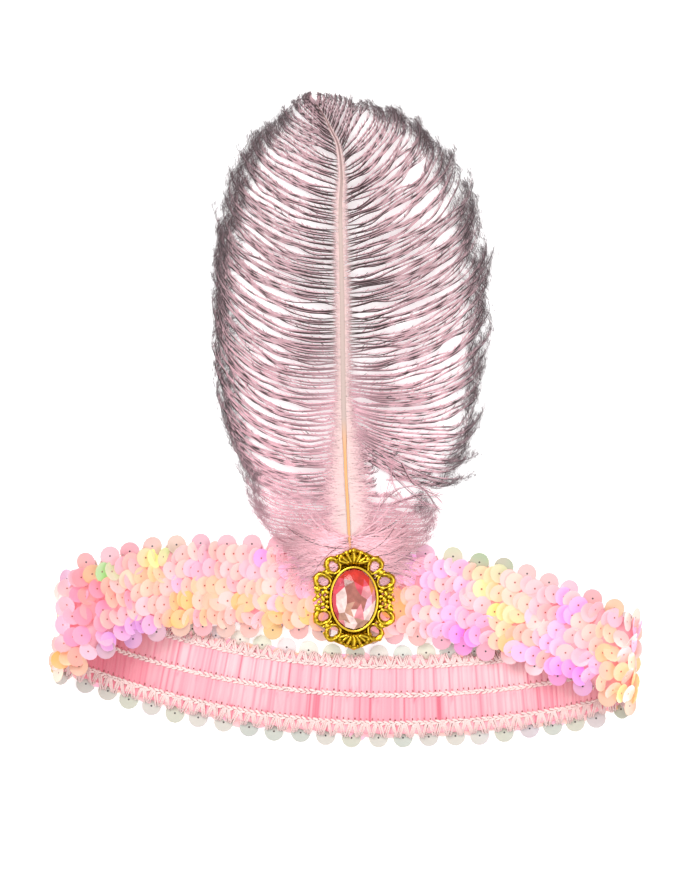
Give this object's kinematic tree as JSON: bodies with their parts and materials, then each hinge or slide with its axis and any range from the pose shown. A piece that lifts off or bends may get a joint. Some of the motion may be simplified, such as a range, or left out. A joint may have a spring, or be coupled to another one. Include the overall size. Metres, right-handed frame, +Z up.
{
  "type": "flapper headpiece",
  "caption": "Elastic sequin headband in a closed loop, lying flat, with an ostrich plume rising from behind an oval stone in a pierced filigree setting.",
  "frame": {"origin": "on the table, under the middle of the whole piece's bounding box", "axes": "+Z up from the table, +Y along the plume towards its tip, +X along the band to the picture's right"},
  "size_m": [0.2366, 0.2652, 0.0214],
  "materials": {
    "pink_knit": "shirred elastic knit",
    "sequin_plastic": "iridescent film",
    "edge_sequin": "clear iridescent film",
    "quill_horn": "horn, dyed",
    "plume_pink": "soft barbs, dyed",
    "gilt_metal": "bright gilt casting",
    "rose_stone": "faceted, foiled"
  },
  "bodies": {
    "root": {"elastic_backing": "pink_knit", "sequin_field": "sequin_plastic", "sequin_edge_upper": "edge_sequin", "sequin_edge_lower": "edge_sequin", "feather_shaft": "quill_horn", "feather_vane_left": "plume_pink", "feather_vane_right": "plume_pink", "brooch_setting": "gilt_metal", "brooch_stone": "rose_stone"}
  },
  "joints": []
}
